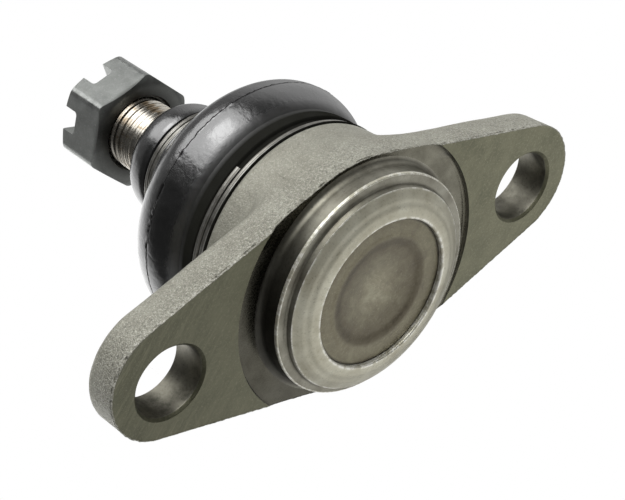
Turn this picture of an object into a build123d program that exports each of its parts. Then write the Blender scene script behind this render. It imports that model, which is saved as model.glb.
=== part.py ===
from build123d import *
from math import cos, radians, sin, sqrt, tan
import os

# Suspension ball joint with a two-bolt flange, in millimetres.
# The origin is midway between the two bolt holes, in the plane of the machined flange face.
# +X runs along the bolt holes and +Z along the ball stud; the closed end of the housing is at -Z.

os.makedirs("parts", exist_ok=True)

# ---- flange ----
hole_spacing = 80.0
bolt_hole_diameter = 13.0
bolt_hole_chamfer_width = 0.8
bolt_hole_chamfer_depth = 0.5
flange_thickness = 7.5
lug_radius = 11.5
waist_radius = 22.5
flange_edge_round = 1.6
forging_draft = 4.0
relief_radius = 26.3
relief_depth = 0.9

# ---- barrel and the nose that carries the boot ----
barrel_base_radius = 22.6
barrel_top_radius = 22.0
barrel_top_z = 15.2
barrel_edge_chamfer = 0.4
barrel_fillet = 3.2
nose_groove_radius = 19.4
nose_lip_radius = 19.9
nose_groove_height = 3.6
nose_top_z = 21.5

# ---- boss and rolled lip at the closed end ----
boss_radius = 21.0
boss_height = 3.25
boss_foot_radius = 1.2
lip_base_radius = 19.1
lip_corner_radius = 18.8
lip_corner_height = 1.1
lip_inner_radius = 13.8
lip_height = 2.7
lip_crown = 0.2
lip_inner_wall = 0.85

# ---- cover plate under the rolled lip ----
cover_radius = 16.4
cover_thickness = 2.0
cover_rim_drop = 0.8
cover_dish_radius = 10.0
cover_dish_floor_radius = 6.0
cover_dish_depth = 1.0
cover_bore_clearance = 0.1

# ---- ball stud ----
ball_radius = 12.0
ball_centre_z = 12.0
neck_radius = 7.0
neck_end_z = 26.0
taper_start_z = 31.0
taper_end_z = 50.0
taper_end_radius = 7.4
taper_ratio = 1.0 / 8.0
thread_diameter = 14.0
thread_runout = 1.2
stud_end_z = 70.0
stud_end_chamfer = 1.2
cotter_hole_diameter = 3.5
cotter_hole_z = 65.0

# ---- bearings and preload spring ----
swing_angle = 25.0
mouth_margin = 0.9
bearing_radius = 15.4
bearing_bore_clearance = 0.1
ball_clearance = 0.03
bearing_split_gap = 0.6
lower_bearing_bottom_z = -0.6
lower_bearing_hole_radius = 4.5
upper_bearing_top_z = 17.5
seat_edge_angle = 24.0
spring_outer_radius = 15.0
spring_inner_radius = 9.5
spring_thickness = 1.2
spring_gap = 0.05

# ---- dust boot ----
boot_clearance = 0.15
boot_bead_radius = 22.2
boot_bead_height = 0.35
boot_ring_groove_radius = 21.2
boot_ring_groove_height = 2.5
boot_skirt_radius = 22.0
boot_bulge_centre_radius = 17.1
boot_bulge_centre_z = 27.0
boot_bulge_radius = 7.35
boot_wall = 2.0
boot_waist_radius = 13.0
boot_waist_z = 38.6
boot_collar_z = 41.8
neck_groove_radius = 11.1
neck_groove_height = 2.2
boot_lip_radius = 11.4
boot_lip_widest_z = 46.8
boot_top_z = 51.8
boot_lip_wall = 0.5

# ---- wound wire rings ----
ring_clearance = 0.05
wire_thickness = 0.7
base_wire_height = 0.9
base_wire_gap = 0.6
neck_wire_height = 0.9
neck_wire_gap = 0.2

# ---- slotted nut ----
nut_across_flats = 20.5
nut_height = 11.0
nut_bearing_z = 61.0
nut_chamfer_angle = 30.0
nut_face_radius = 9.9
nut_slot_width = 4.6
nut_slot_depth = 3.7
nut_thread_clearance = 0.05
nut_countersink = 0.7
nut_rest_angle = 16.0


# ---- places worked out from the sizes above ----
hole_places = [(-hole_spacing / 2, 0), (hole_spacing / 2, 0)]
boss_end_z = -boss_height
lip_corner_z = boss_end_z - lip_corner_height
lip_crest_z = boss_end_z - lip_height
cover_face_z = lip_crest_z + lip_inner_wall
cover_back_z = cover_face_z + cover_thickness
thread_radius = thread_diameter / 2
bearing_bore_radius = bearing_radius + bearing_bore_clearance
ball_neck_height = sqrt(ball_radius**2 - neck_radius**2)
seat_radius = ball_radius + ball_clearance
base_groove_z = barrel_top_z + boot_clearance + boot_bead_height
neck_groove_z = boot_collar_z + 0.6


def barrel_radius_at(z):
    """Radius of the drafted barrel at a height above the flange face."""
    return barrel_base_radius + (barrel_top_radius - barrel_base_radius) * z / barrel_top_z


def taper_radius_at(z):
    """Radius of the stud's seating taper, whose ratio is given on the diameter."""
    return taper_end_radius + (taper_end_z - z) * taper_ratio / 2


def mouth_radius_at(z):
    """Radius that clears the stud's neck at full swing, at a height in the housing's mouth."""
    lean = radians(swing_angle)
    neck_reach = neck_radius * cos(lean) + ball_neck_height * sin(lean)
    neck_height = ball_neck_height * cos(lean) - neck_radius * sin(lean)
    return neck_reach + (z - ball_centre_z - neck_height) * tan(lean) + mouth_margin


# ---- housing: forged flange and barrel, turned boss, bore and rolled lip ----
with BuildSketch() as flange_outline:
    with Locations(*hole_places):
        Circle(lug_radius)
    Circle(waist_radius)
    make_hull()

# The concave fillet between barrel and flange, kept inside the flange's own outline.
with BuildPart() as barrel_flare:
    with BuildSketch(Plane.XZ):
        with BuildLine():
            foot = (barrel_radius_at(flange_thickness) + barrel_fillet, flange_thickness)
            head = (barrel_radius_at(flange_thickness), flange_thickness + barrel_fillet)
            Polyline(head, (0, head[1]), (0, 0), (foot[0], 0), foot)
            RadiusArc(foot, head, barrel_fillet)
        make_face()
    revolve(axis=Axis.Z)
    extrude(flange_outline.sketch, amount=head[1], taper=forging_draft, mode=Mode.INTERSECT)

with BuildPart() as housing:
    extrude(flange_outline.sketch, amount=flange_thickness, taper=forging_draft)
    fillet(housing.edges().group_by(Axis.Z)[-1], flange_edge_round)
    add(barrel_flare.part)

    # spot-faced relief round the boss
    with BuildSketch(Plane.XZ):
        with BuildLine():
            Polyline((0, 0), (relief_radius, 0))
            RadiusArc((relief_radius, 0), (relief_radius - relief_depth, relief_depth), -relief_depth)
            Polyline((relief_radius - relief_depth, relief_depth), (0, relief_depth), (0, 0))
        make_face()
    revolve(axis=Axis.Z, mode=Mode.SUBTRACT)

    # boss, rolled lip, barrel and nose, turned about the stud axis
    with BuildSketch(Plane.XZ):
        with BuildLine():
            foot_start = (boss_radius + boss_foot_radius, relief_depth)
            foot_end = (boss_radius, relief_depth - boss_foot_radius)
            RadiusArc(foot_start, foot_end, -boss_foot_radius)
            Polyline(
                foot_end,
                (boss_radius, boss_end_z),
                (lip_base_radius, boss_end_z),
                (lip_corner_radius, lip_corner_z),
            )
            lip_middle = ((lip_corner_radius + lip_inner_radius) / 2, (lip_corner_z + lip_crest_z) / 2 - lip_crown)
            ThreePointArc((lip_corner_radius, lip_corner_z), lip_middle, (lip_inner_radius, lip_crest_z))
            Polyline(
                (lip_inner_radius, lip_crest_z),
                (0, lip_crest_z),
                (0, nose_top_z),
                (nose_lip_radius, nose_top_z),
                (nose_lip_radius, barrel_top_z + nose_groove_height),
                (nose_groove_radius, barrel_top_z + nose_groove_height),
                (nose_groove_radius, barrel_top_z),
                (barrel_top_radius - barrel_edge_chamfer, barrel_top_z),
                (barrel_top_radius, barrel_top_z - barrel_edge_chamfer),
                (barrel_radius_at(relief_depth), relief_depth),
                foot_start,
            )
        make_face()
    revolve(axis=Axis.Z)

    # bore for the bearings, counterbore for the cover and flared mouth for the stud
    with BuildSketch(Plane.XZ):
        with BuildLine():
            cover_bore_radius = cover_radius + cover_bore_clearance
            Polyline(
                (0, lip_crest_z - 1),
                (lip_inner_radius, lip_crest_z - 1),
                (lip_inner_radius, cover_face_z),
                (cover_bore_radius, cover_face_z + cover_rim_drop),
                (cover_bore_radius, cover_back_z),
                (bearing_bore_radius, cover_back_z),
                (bearing_bore_radius, upper_bearing_top_z),
                (mouth_radius_at(upper_bearing_top_z), upper_bearing_top_z),
                (mouth_radius_at(nose_top_z), nose_top_z),
                (0, nose_top_z),
                close=True,
            )
        make_face()
    revolve(axis=Axis.Z, mode=Mode.SUBTRACT)

    with Locations(*hole_places):
        Cylinder(bolt_hole_diameter / 2, 3 * flange_thickness, mode=Mode.SUBTRACT)
    for rim_z, tip in ((0, 0), (flange_thickness, 180)):
        with Locations(*[(x, y, rim_z) for x, y in hole_places]):
            Cone(
                bolt_hole_diameter / 2 + bolt_hole_chamfer_width,
                bolt_hole_diameter / 2,
                bolt_hole_chamfer_depth,
                rotation=(tip, 0, 0),
                align=(Align.CENTER, Align.CENTER, Align.MIN),
                mode=Mode.SUBTRACT,
            )

housing.part.label = "housing"
export_step(housing.part, "parts/housing.step")

# ---- cover plate: dished disc with its rim bevelled under the rolled lip ----
with BuildPart() as cover_plate:
    with BuildSketch(Plane.XZ):
        with BuildLine():
            Polyline(
                (0, cover_face_z + cover_dish_depth),
                (cover_dish_floor_radius, cover_face_z + cover_dish_depth),
                (cover_dish_radius, cover_face_z),
                (lip_inner_radius, cover_face_z),
                (cover_radius, cover_face_z + cover_rim_drop),
                (cover_radius, cover_back_z),
                (cover_dish_radius, cover_back_z),
                (cover_dish_floor_radius, cover_back_z + cover_dish_depth),
                (0, cover_back_z + cover_dish_depth),
                close=True,
            )
        make_face()
    revolve(axis=Axis.Z)
cover_plate.part.label = "cover_plate"
export_step(cover_plate.part, "parts/cover_plate.step")

# ---- preload spring: conical disc spring between the cover and the lower bearing ----
spring_rise = lower_bearing_bottom_z - cover_back_z - spring_thickness - spring_gap
with BuildPart() as preload_spring:
    with BuildSketch(Plane.XZ):
        with BuildLine():
            Polyline(
                (spring_outer_radius, cover_back_z),
                (spring_outer_radius, cover_back_z + spring_thickness),
                (spring_inner_radius, cover_back_z + spring_thickness + spring_rise),
                (spring_inner_radius, cover_back_z + spring_rise),
                close=True,
            )
        make_face()
    revolve(axis=Axis.Z)
preload_spring.part.label = "preload_spring"
export_step(preload_spring.part, "parts/preload_spring.step")

# ---- lower bearing: round cup under the ball, open at its pole for grease ----
with BuildPart() as lower_bearing:
    lower_height = ball_centre_z - bearing_split_gap / 2 - lower_bearing_bottom_z
    with Locations((0, 0, lower_bearing_bottom_z)):
        Cylinder(bearing_radius, lower_height, align=(Align.CENTER, Align.CENTER, Align.MIN))
    with Locations((0, 0, ball_centre_z)):
        Sphere(seat_radius, mode=Mode.SUBTRACT)
    Cylinder(lower_bearing_hole_radius, ball_centre_z, mode=Mode.SUBTRACT)
lower_bearing.part.label = "lower_bearing"
export_step(lower_bearing.part, "parts/lower_bearing.step")

# ---- upper bearing: ring over the ball, flared for the swinging neck ----
with BuildPart() as upper_bearing:
    upper_bottom_z = ball_centre_z + bearing_split_gap / 2
    seat_edge_z = ball_centre_z + seat_radius * sin(radians(seat_edge_angle))
    seat_edge_radius = seat_radius * cos(radians(seat_edge_angle))
    with BuildSketch(Plane.XZ):
        with BuildLine():
            seat_start_radius = sqrt(seat_radius**2 - (bearing_split_gap / 2) ** 2)
            RadiusArc((seat_start_radius, upper_bottom_z), (seat_edge_radius, seat_edge_z), -seat_radius)
            flare_radius = seat_edge_radius + (upper_bearing_top_z - seat_edge_z) * tan(radians(swing_angle))
            Polyline(
                (seat_edge_radius, seat_edge_z),
                (flare_radius, upper_bearing_top_z),
                (bearing_radius, upper_bearing_top_z),
                (bearing_radius, upper_bottom_z),
                (seat_start_radius, upper_bottom_z),
            )
        make_face()
    revolve(axis=Axis.Z)
upper_bearing.part.label = "upper_bearing"
export_step(upper_bearing.part, "parts/upper_bearing.step")

# ---- ball stud: ball, neck, seating taper and thread cylinder with its cotter hole ----
with BuildPart() as ball_stud:
    with BuildSketch(Plane.XZ):
        with BuildLine():
            ball_top = (neck_radius, ball_centre_z + ball_neck_height)
            ThreePointArc((0, ball_centre_z - ball_radius), (ball_radius, ball_centre_z), ball_top)
            Polyline(
                ball_top,
                (neck_radius, neck_end_z),
                (taper_radius_at(taper_start_z), taper_start_z),
                (taper_end_radius, taper_end_z),
                (thread_radius, taper_end_z + thread_runout),
                (thread_radius, stud_end_z - stud_end_chamfer),
                (thread_radius - stud_end_chamfer, stud_end_z),
                (0, stud_end_z),
                (0, ball_centre_z - ball_radius),
            )
        make_face()
    revolve(axis=Axis.Z)
    with Locations((0, 0, cotter_hole_z)):
        Cylinder(cotter_hole_diameter / 2, 2 * thread_diameter, rotation=(0, 90, 0), mode=Mode.SUBTRACT)
ball_stud.part.label = "ball_stud"
export_step(ball_stud.part, "parts/ball_stud.step")

# ---- dust boot: moulded rubber with a base bead, a round bulge, a collar and a stud lip ----
with BuildPart() as dust_boot:
    bead_bottom_z = barrel_top_z + boot_clearance
    bulge_start = radians(-50)
    bulge_end = radians(100)
    inner_start = radians(-38)
    inner_end = radians(106)
    inner_bulge_radius = boot_bulge_radius - boot_wall
    groove_top_z = neck_groove_z + neck_groove_height

    def on_bulge(radius, angle):
        return (
            boot_bulge_centre_radius + radius * cos(angle),
            boot_bulge_centre_z + radius * sin(angle),
        )

    with BuildSketch(Plane.XZ):
        with BuildLine():
            grip_radius = nose_groove_radius + boot_clearance
            skirt_inner_radius = nose_lip_radius + 2 * boot_clearance
            grip_top_z = barrel_top_z + nose_groove_height - boot_clearance
            Polyline(
                (grip_radius, grip_top_z),
                (grip_radius, bead_bottom_z),
                (boot_bead_radius, bead_bottom_z),
                (boot_bead_radius, base_groove_z),
                (boot_ring_groove_radius, base_groove_z),
                (boot_ring_groove_radius, base_groove_z + boot_ring_groove_height),
                (boot_skirt_radius, base_groove_z + boot_ring_groove_height),
                on_bulge(boot_bulge_radius, bulge_start),
            )
            ThreePointArc(
                on_bulge(boot_bulge_radius, bulge_start),
                on_bulge(boot_bulge_radius, 0),
                on_bulge(boot_bulge_radius, bulge_end),
            )
            Polyline(
                on_bulge(boot_bulge_radius, bulge_end),
                (boot_waist_radius, boot_waist_z),
                (boot_waist_radius, boot_collar_z),
                (neck_groove_radius, neck_groove_z),
                (neck_groove_radius, groove_top_z),
            )
            ThreePointArc(
                (neck_groove_radius, groove_top_z),
                (boot_lip_radius, boot_lip_widest_z),
                (taper_end_radius + boot_lip_wall, boot_top_z),
            )
            Polyline(
                (taper_end_radius + boot_lip_wall, boot_top_z),
                (taper_end_radius + boot_clearance, boot_top_z),
                (taper_end_radius + boot_clearance, taper_end_z),
                (taper_radius_at(neck_groove_z) + boot_clearance, neck_groove_z),
                (boot_waist_radius - boot_wall, boot_waist_z),
                on_bulge(inner_bulge_radius, inner_end),
            )
            ThreePointArc(
                on_bulge(inner_bulge_radius, inner_end),
                on_bulge(inner_bulge_radius, 0),
                on_bulge(inner_bulge_radius, inner_start),
            )
            Polyline(
                on_bulge(inner_bulge_radius, inner_start),
                (skirt_inner_radius, nose_top_z),
                (skirt_inner_radius, grip_top_z),
                (grip_radius, grip_top_z),
            )
        make_face()
    revolve(axis=Axis.Z)
dust_boot.part.label = "dust_boot"
export_step(dust_boot.part, "parts/dust_boot.step")


def two_turn_band(inner_radius, middle_z, wire_height, wire_gap):
    """Section of a flat wire wound in two turns: one upright band with a crease between the turns."""
    crease_radius = inner_radius + wire_thickness / 2
    outer_radius = inner_radius + wire_thickness
    half_gap = wire_gap / 2
    half_height = half_gap + wire_height
    return [
        (inner_radius, middle_z - half_height),
        (outer_radius, middle_z - half_height),
        (outer_radius, middle_z - half_gap),
        (crease_radius, middle_z),
        (outer_radius, middle_z + half_gap),
        (outer_radius, middle_z + half_height),
        (inner_radius, middle_z + half_height),
    ]


# ---- ring that clamps the boot's base on the nose ----
with BuildPart() as boot_base_ring:
    base_ring_z = base_groove_z + boot_ring_groove_height / 2
    with BuildSketch(Plane.XZ):
        with BuildLine():
            inner_radius = boot_ring_groove_radius + ring_clearance
            Polyline(*two_turn_band(inner_radius, base_ring_z, base_wire_height, base_wire_gap), close=True)
        make_face()
    revolve(axis=Axis.Z)
boot_base_ring.part.label = "boot_base_ring"
export_step(boot_base_ring.part, "parts/boot_base_ring.step")

# ---- ring that clamps the boot's neck on the stud ----
with BuildPart() as boot_neck_ring:
    neck_ring_z = neck_groove_z + neck_groove_height / 2
    with BuildSketch(Plane.XZ):
        with BuildLine():
            inner_radius = neck_groove_radius + ring_clearance
            Polyline(*two_turn_band(inner_radius, neck_ring_z, neck_wire_height, neck_wire_gap), close=True)
        make_face()
    revolve(axis=Axis.Z)
boot_neck_ring.part.label = "boot_neck_ring"
export_step(boot_neck_ring.part, "parts/boot_neck_ring.step")

# ---- slotted nut: hexagon chamfered at both ends, with a slot across each pair of flats ----
with BuildPart() as castle_nut:
    nut_top_z = nut_bearing_z + nut_height
    corner_radius = nut_across_flats / sqrt(3)
    corner_drop = (corner_radius - nut_face_radius) * tan(radians(nut_chamfer_angle))
    with BuildSketch(Plane.XY.offset(nut_bearing_z)):
        RegularPolygon(corner_radius, 6, rotation=nut_rest_angle + 30)
    extrude(amount=nut_height)

    # both ends turned to a shallow cone, which leaves the curved edges on the flats
    with BuildSketch(Plane.XZ):
        with BuildLine():
            Polyline(
                (0, nut_bearing_z),
                (nut_face_radius, nut_bearing_z),
                (corner_radius, nut_bearing_z + corner_drop),
                (corner_radius, nut_top_z - corner_drop),
                (nut_face_radius, nut_top_z),
                (0, nut_top_z),
                close=True,
            )
        make_face()
    revolve(axis=Axis.Z, mode=Mode.INTERSECT)

    nut_bore_radius = thread_radius + nut_thread_clearance
    with BuildSketch(Plane.XZ):
        with BuildLine():
            Polyline(
                (0, nut_bearing_z),
                (nut_bore_radius + nut_countersink, nut_bearing_z),
                (nut_bore_radius, nut_bearing_z + nut_countersink),
                (nut_bore_radius, nut_top_z),
                (0, nut_top_z),
                close=True,
            )
        make_face()
    revolve(axis=Axis.Z, mode=Mode.SUBTRACT)

    with BuildSketch(Plane.XY.offset(nut_top_z - nut_slot_depth)):
        with Locations(*[Rotation(0, 0, nut_rest_angle + turn) for turn in (0, 60, 120)]):
            Rectangle(2 * nut_across_flats, nut_slot_width)
    extrude(amount=nut_slot_depth, mode=Mode.SUBTRACT)
castle_nut.part.label = "castle_nut"
export_step(castle_nut.part, "parts/castle_nut.step")
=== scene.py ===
from math import atan2, cos, hypot, pi, radians, sin, sqrt, tan

import bmesh
import bpy
from mathutils import Matrix, Vector, noise


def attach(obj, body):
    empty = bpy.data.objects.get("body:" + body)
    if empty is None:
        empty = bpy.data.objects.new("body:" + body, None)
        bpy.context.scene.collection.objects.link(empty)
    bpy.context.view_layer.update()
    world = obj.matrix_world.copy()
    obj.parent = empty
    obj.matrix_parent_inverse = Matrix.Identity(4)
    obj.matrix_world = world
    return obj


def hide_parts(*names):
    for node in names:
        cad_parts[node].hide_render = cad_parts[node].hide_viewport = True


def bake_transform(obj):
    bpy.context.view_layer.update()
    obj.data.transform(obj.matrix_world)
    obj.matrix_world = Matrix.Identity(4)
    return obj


# A suspension ball joint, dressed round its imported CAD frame.
# Meshes are written in millimetres and scaled to metres when they are made.
# Surfaces of revolution are lists of (radius, height) points about the stud axis, which is Z.

MM = 0.001
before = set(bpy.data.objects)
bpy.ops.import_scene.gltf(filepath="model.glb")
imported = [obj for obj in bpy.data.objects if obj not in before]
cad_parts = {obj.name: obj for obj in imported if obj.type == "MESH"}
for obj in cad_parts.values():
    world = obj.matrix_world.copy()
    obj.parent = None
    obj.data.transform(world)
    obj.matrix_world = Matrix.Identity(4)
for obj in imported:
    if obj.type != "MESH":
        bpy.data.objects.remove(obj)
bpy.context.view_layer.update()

# ---- sizes in millimetres, as in the CAD ----
HOLE_REACH = 40.0
HOLE_RADIUS = 6.5
HOLE_CHAMFER_WIDTH = 0.8
HOLE_CHAMFER_DEPTH = 0.5
FLANGE_THICKNESS = 7.5
LUG_RADIUS = 11.5
WAIST_RADIUS = 22.5
EDGE_ROUND = 1.6
DRAFT = tan(radians(4.0))
RELIEF_RADIUS = 26.3
RELIEF_DEPTH = 0.9
BARREL_BASE_RADIUS = 22.6
BARREL_TOP_RADIUS = 22.0
BARREL_TOP = 15.2
BARREL_FILLET = 3.2
NOSE_GROOVE_RADIUS = 19.4
NOSE_LIP_RADIUS = 19.9
NOSE_LIP_BOTTOM = 18.8
NOSE_TOP = 21.5
BOSS_RADIUS = 21.0
BOSS_END = -3.25
BOSS_FOOT = 1.2
LIP_BASE_RADIUS = 19.1
LIP_CORNER_RADIUS = 18.8
LIP_CORNER = -4.35
LIP_INNER_RADIUS = 13.8
LIP_CREST = -5.95
COVER_FACE = -5.1
COVER_BACK = -3.1
COVER_RADIUS = 16.4
COVER_BORE_RADIUS = 16.5
COVER_RIM_DROP = 0.8
COVER_DISH_RADIUS = 10.0
COVER_DISH_DEPTH = 1.0
BORE_RADIUS = 15.5
UPPER_BEARING_TOP = 17.5
MOUTH_RADIUS = 14.0
THROAT_RADIUS = 12.2
BALL_CENTRE = 12.0
BALL_RADIUS = 12.0
THREAD_RADIUS = 7.0
THREAD_START = 50.6
TAPER_START = 31.0
TAPER_START_RADIUS = 8.5875
TAPER_END = 50.0
TAPER_END_RADIUS = 7.4
STUD_END = 70.0
COTTER_HOLE_RADIUS = 1.75
COTTER_HOLE = 65.0
NUT_FLATS = 20.5
NUT_BEARING = 61.0
NUT_TOP = 72.0
NUT_FACE_RADIUS = 9.9
NUT_CONE = tan(radians(30.0))
NUT_SLOT_WIDTH = 4.6
NUT_SLOT_DEPTH = 3.7
NUT_REST_ANGLE = 16.0
NUT_BORE_RADIUS = 7.05
NUT_COUNTERSINK = 0.7
BULGE = (17.1, 27.0)
BULGE_RADIUS = 7.35
BOOT_WALL = 2.0
BOOT_TOP = 51.8

# ---- sizes in millimetres of what only the scene shows ----
FACE_INSET = 0.15    # the machined face ends this far inside the nominal outline
LUG_SLIP = 0.9       # how far the forging has slipped towards -Y at the lugs
WAIST_SLIP = 0.4     # the same at the waist
RELIEF_RUNOUT = 0.62    # how much shallower the relief is towards +Y
BOSS_THINNING = 0.9     # how much smaller the boss is towards +Y
BURR_WIDTH = 0.18
BOSS_CORNER = 0.25
THREAD_PITCH = 1.5
THREAD_DEPTH = 0.42
DULL_NECK = (41.6, 45.5)    # heights between which the boot's neck groove is matt
# the boot's mould seam, beyond the bulge's widest point: a ridge, an undercut nick and a ridge
CREASE = ((0.0, -0.24), (0.05, -0.17), (0.03, -0.10), (-0.16, -0.02),
          (-0.14, 0.05), (0.02, 0.12), (0.0, 0.22))
# the flange's ragged lower edge: (beyond the edge, above the face, finish)
EDGE_PROFILE = ((-0.06, -0.03, "burr"), (0.02, 0.03, "burr"), (0.0, 0.16, "burr"),
                (-0.04, 0.22, "notch"), (-0.04, 0.48, "notch"))

SMOOTH_ANGLE = radians(38)
AXIS_RADIUS = 0.001    # a turned skin closes on the axis in a circle too small to see


# ---- mesh tools ----

def between(a, b, share):
    return a + (b - a) * share


def finish_mesh(name, verts, faces, materials, face_materials=None, smooth_angle=SMOOTH_ANGLE):
    """A mesh object in metres from millimetre vertices, smooth apart from its real corners."""
    mesh = bpy.data.meshes.new(name)
    mesh.from_pydata([tuple(c * MM for c in v) for v in verts], [], faces)
    for material in materials:
        mesh.materials.append(material)
    if face_materials:
        mesh.polygons.foreach_set("material_index", face_materials)
    tidy = bmesh.new()
    tidy.from_mesh(mesh)
    bmesh.ops.remove_doubles(tidy, verts=tidy.verts, dist=1e-7)
    bmesh.ops.dissolve_degenerate(tidy, edges=tidy.edges, dist=1e-7)
    bmesh.ops.recalc_face_normals(tidy, faces=tidy.faces)
    tidy.to_mesh(mesh)
    tidy.free()
    obj = bpy.data.objects.new(name, mesh)
    bpy.context.scene.collection.objects.link(obj)
    set_smooth(obj, smooth_angle)
    return obj


def set_smooth(obj, angle=SMOOTH_ANGLE):
    mesh = obj.data
    mesh.polygons.foreach_set("use_smooth", [True] * len(mesh.polygons))
    mesh.set_sharp_from_angle(angle=angle)
    mesh.update()


def grid_faces(rows, columns, close_rows=True):
    """Quads of a grid whose columns go round; close_rows joins the last row to the first."""
    faces = []
    for i in range(rows if close_rows else rows - 1):
        a = i * columns
        b = ((i + 1) % rows) * columns
        for j in range(columns):
            k = (j + 1) % columns
            faces.append((a + j, a + k, b + k, b + j))
    return faces


def lathe(name, profile, materials, segments, row_materials=None, wobble=None):
    """A closed profile turned about the stud axis. A wobble moves each (radius, height) at its angle."""
    verts = []
    for radius, height in profile:
        for j in range(segments):
            angle = 2 * pi * j / segments
            r, z = (radius, height) if wobble is None else wobble(radius, height, angle)
            verts.append((r * cos(angle), r * sin(angle), z))
    faces = grid_faces(len(profile), segments)
    face_materials = None
    if row_materials:
        face_materials = [row_materials[i] for i in range(len(profile)) for _ in range(segments)]
    return finish_mesh(name, verts, faces, materials, face_materials)


def arc(centre, radius, start, end, steps):
    """Points of an arc in the (radius, height) plane, angles in degrees."""
    points = []
    for i in range(steps + 1):
        angle = radians(between(start, end, i / steps))
        points.append((centre[0] + radius * cos(angle), centre[1] + radius * sin(angle)))
    return points


def line(a, b, steps):
    """Points from a to b, without b."""
    return [(between(a[0], b[0], i / steps), between(a[1], b[1], i / steps)) for i in range(steps)]


def smooth_step(value, low, high):
    share = min(1.0, max(0.0, (value - low) / (high - low)))
    return share * share * (3 - 2 * share)


def uneven(where, scale, offset=(0.0, 0.0, 0.0)):
    """Smooth noise between about -1 and 1 at a point."""
    return noise.noise(where * scale + Vector(offset))


def boolean(obj, cutter):
    """Cuts obj by cutter, bakes the result into its mesh and deletes the cutter."""
    modifier = obj.modifiers.new("cut", "BOOLEAN")
    modifier.operation = "DIFFERENCE"
    modifier.solver = "EXACT"
    modifier.material_mode = "TRANSFER"
    modifier.object = cutter
    graph = bpy.context.evaluated_depsgraph_get()
    baked = bpy.data.meshes.new_from_object(obj.evaluated_get(graph))
    obj.modifiers.clear()
    obj.data = baked
    bpy.data.objects.remove(cutter)
    set_smooth(obj)


# ---- materials ----

def new_material(name):
    material = bpy.data.materials.new(name)
    material.use_nodes = True
    tree = material.node_tree
    return material, tree, tree.nodes["Principled BSDF"]


def mapped(tree, vector, scale, kind="POINT", turn=0.0):
    """Scaled coordinates. The kind TEXTURE scales the pattern itself, and turns it about Z."""
    node = tree.nodes.new("ShaderNodeMapping")
    node.vector_type = kind
    node.inputs["Rotation"].default_value = (0, 0, turn)
    node.inputs["Scale"].default_value = scale
    tree.links.new(vector, node.inputs["Vector"])
    return node.outputs["Vector"]


def object_coordinates(tree):
    """Object coordinates in millimetres."""
    return mapped(tree, tree.nodes.new("ShaderNodeTexCoord").outputs["Object"], (1 / MM,) * 3)


def noise_node(tree, vector, scale, detail=4.0, roughness=0.55, distortion=0.0):
    """Noise over coordinates in millimetres, so a scale of 2 has grains about 0.5 mm across."""
    node = tree.nodes.new("ShaderNodeTexNoise")
    node.inputs["Scale"].default_value = scale
    node.inputs["Detail"].default_value = detail
    node.inputs["Roughness"].default_value = roughness
    node.inputs["Distortion"].default_value = distortion
    tree.links.new(vector, node.inputs["Vector"])
    return node.outputs["Fac"]


def ramp(tree, value, stops):
    node = tree.nodes.new("ShaderNodeValToRGB")
    elements = node.color_ramp.elements
    while len(elements) < len(stops):
        elements.new(0.5)
    for element, (position, colour) in zip(elements, stops):
        element.position = position
        element.color = (*colour, 1.0)
    tree.links.new(value, node.inputs["Fac"])
    return node.outputs["Color"]


def mix_colour(tree, factor, a, b, blend="MIX"):
    node = tree.nodes.new("ShaderNodeMix")
    node.data_type = "RGBA"
    node.blend_type = blend
    sockets = [s for s in node.inputs if s.type == "RGBA"]
    for socket, value in zip(sockets, (a, b)):
        if isinstance(value, tuple):
            socket.default_value = (*value, 1.0)
        else:
            tree.links.new(value, socket)
    if isinstance(factor, float):
        node.inputs["Factor"].default_value = factor
    else:
        tree.links.new(factor, node.inputs["Factor"])
    return [s for s in node.outputs if s.type == "RGBA"][0]


def map_range(tree, value, low, high, out_low, out_high):
    node = tree.nodes.new("ShaderNodeMapRange")
    node.inputs["From Min"].default_value = low
    node.inputs["From Max"].default_value = high
    node.inputs["To Min"].default_value = out_low
    node.inputs["To Max"].default_value = out_high
    tree.links.new(value, node.inputs["Value"])
    return node.outputs["Result"]


def math_node(tree, operation, a, b):
    node = tree.nodes.new("ShaderNodeMath")
    node.operation = operation
    tree.links.new(a, node.inputs[0])
    tree.links.new(b, node.inputs[1])
    return node.outputs["Value"]


def multiply(tree, a, b):
    return math_node(tree, "MULTIPLY", a, b)


def length_of(tree, vector):
    node = tree.nodes.new("ShaderNodeVectorMath")
    node.operation = "LENGTH"
    tree.links.new(vector, node.inputs[0])
    return node.outputs["Value"]


def show_mix(tree, output_type, factor, first, second):
    """Ends a tree with one shader where the factor is 0 and another where it is 1."""
    mix = tree.nodes.new("ShaderNodeMixShader")
    for socket, value in zip(mix.inputs, (factor, first, second)):
        tree.links.new(value, socket)
    tree.links.new(mix.outputs["Shader"], tree.nodes.new(output_type).inputs["Surface"])


def bump(tree, shader, heights):
    """Chains bump nodes, one for each (height socket, distance in mm, strength)."""
    normal = None
    for height, distance, strength in heights:
        node = tree.nodes.new("ShaderNodeBump")
        node.inputs["Distance"].default_value = distance * MM
        node.inputs["Strength"].default_value = strength
        tree.links.new(height, node.inputs["Height"])
        if normal is not None:
            tree.links.new(normal, node.inputs["Normal"])
        normal = node.outputs["Normal"]
    tree.links.new(normal, shader.inputs["Normal"])


def varied(tree, cloud, low, high):
    """A value that follows a noise cloud between two levels."""
    return map_range(tree, cloud, 0.3, 0.7, low, high)


def finish_shader(tree, shader, colour, metallic, roughness, heights):
    tree.links.new(colour, shader.inputs["Base Color"])
    tree.links.new(roughness, shader.inputs["Roughness"])
    shader.inputs["Metallic"].default_value = metallic
    bump(tree, shader, heights)


def separate(tree, vector):
    node = tree.nodes.new("ShaderNodeSeparateXYZ")
    tree.links.new(vector, node.inputs["Vector"])
    return node.outputs


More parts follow.
